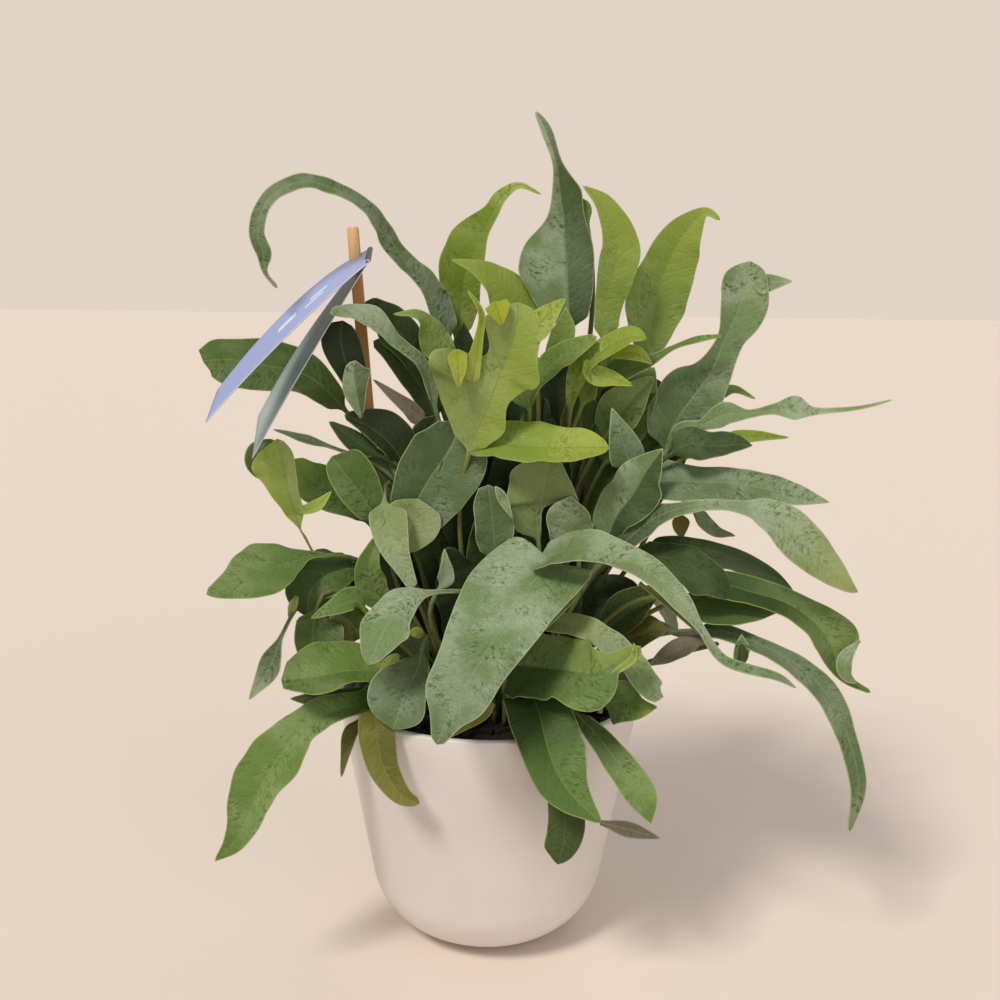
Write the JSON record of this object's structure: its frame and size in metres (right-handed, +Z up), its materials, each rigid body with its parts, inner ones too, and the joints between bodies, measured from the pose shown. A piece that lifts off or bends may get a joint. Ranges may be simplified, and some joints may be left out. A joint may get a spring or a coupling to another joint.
{
  "type": "potted blue star fern",
  "caption": "Potted fern: lobed blue-green and yellow-green fronds rise from creeping rhizomes in a white cover pot, with a folded tag on a wooden stake.",
  "frame": {"origin": "centre of the cover pot's flat foot, on the surface it stands on", "axes": "+Z up along the pot's axis, -Y towards the side with the most fronds, +X to that side's right"},
  "size_m": [0.3166, 0.2494, 0.3997],
  "materials": {
    "white_glaze": "satin",
    "black_plastic": "satin",
    "bark_compost": "matte",
    "rhizome_scales": "matte",
    "birch": "matte",
    "printed_card": "satin",
    "leaf_glaucous": "satin",
    "leaf_deep": "satin",
    "leaf_young": "satin",
    "leaf_green": "satin",
    "leaf_olive": "satin"
  },
  "bodies": {
    "root": {"cover_pot": "white_glaze", "grow_pot": "black_plastic", "soil": "bark_compost", "rhizome_left": "rhizome_scales", "rhizome_back": "rhizome_scales", "rhizome_right": "rhizome_scales", "stake": "birch", "plant_tag": "printed_card", "frond_crozier": "leaf_glaucous", "frond_yellow_top": "leaf_young", "frond_light_top": "leaf_green", "frond_tall": "leaf_glaucous", "frond_light_arch": "leaf_green", "frond_big_right": "leaf_green", "frond_blue_s": "leaf_glaucous", "frond_far_left": "leaf_deep", "frond_beside_stake": "leaf_deep", "frond_left_arch": "leaf_glaucous", "frond_dark_upper_left": "leaf_deep", "frond_curled_bright": "leaf_young", "frond_veined_right": "leaf_deep", "frond_wavy_right": "leaf_glaucous", "frond_dark_right": "leaf_deep", "frond_pointed_right": "leaf_glaucous", "frond_long_right": "leaf_glaucous", "frond_speckled_arch": "leaf_green", "frond_mid_left_back": "leaf_glaucous", "frond_mid_left": "leaf_glaucous", "frond_broad_centre": "leaf_deep", "frond_centre_lobed": "leaf_glaucous", "frond_young_centre": "leaf_young", "frond_grey_centre": "leaf_glaucous", "frond_young_left": "leaf_young", "frond_left": "leaf_glaucous", "frond_dark_left": "leaf_deep", "frond_upright_left": "leaf_green", "frond_dark_lower_right": "leaf_deep", "frond_thin_arch": "leaf_deep", "frond_drooping": "leaf_deep", "frond_long_arching": "leaf_deep", "frond_lower_bend": "leaf_glaucous", "frond_lower_broad": "leaf_green", "frond_front_large": "leaf_glaucous", "frond_front_arch": "leaf_glaucous", "frond_front_low": "leaf_deep", "frond_right_low": "leaf_green", "frond_hanging_front": "leaf_deep", "frond_spoon": "leaf_glaucous", "frond_round_left": "leaf_green", "frond_hanging_left": "leaf_glaucous", "frond_left_low": "leaf_green", "frond_olive": "leaf_olive", "frond_back_low": "leaf_deep", "frond_back_low_left": "leaf_green", "frond_back_low_right": "leaf_glaucous", "frond_back_left": "leaf_glaucous", "frond_back_middle": "leaf_green", "frond_back_right": "leaf_deep", "frond_back_tall": "leaf_glaucous", "frond_back_tall_left": "leaf_deep"}
  },
  "joints": []
}
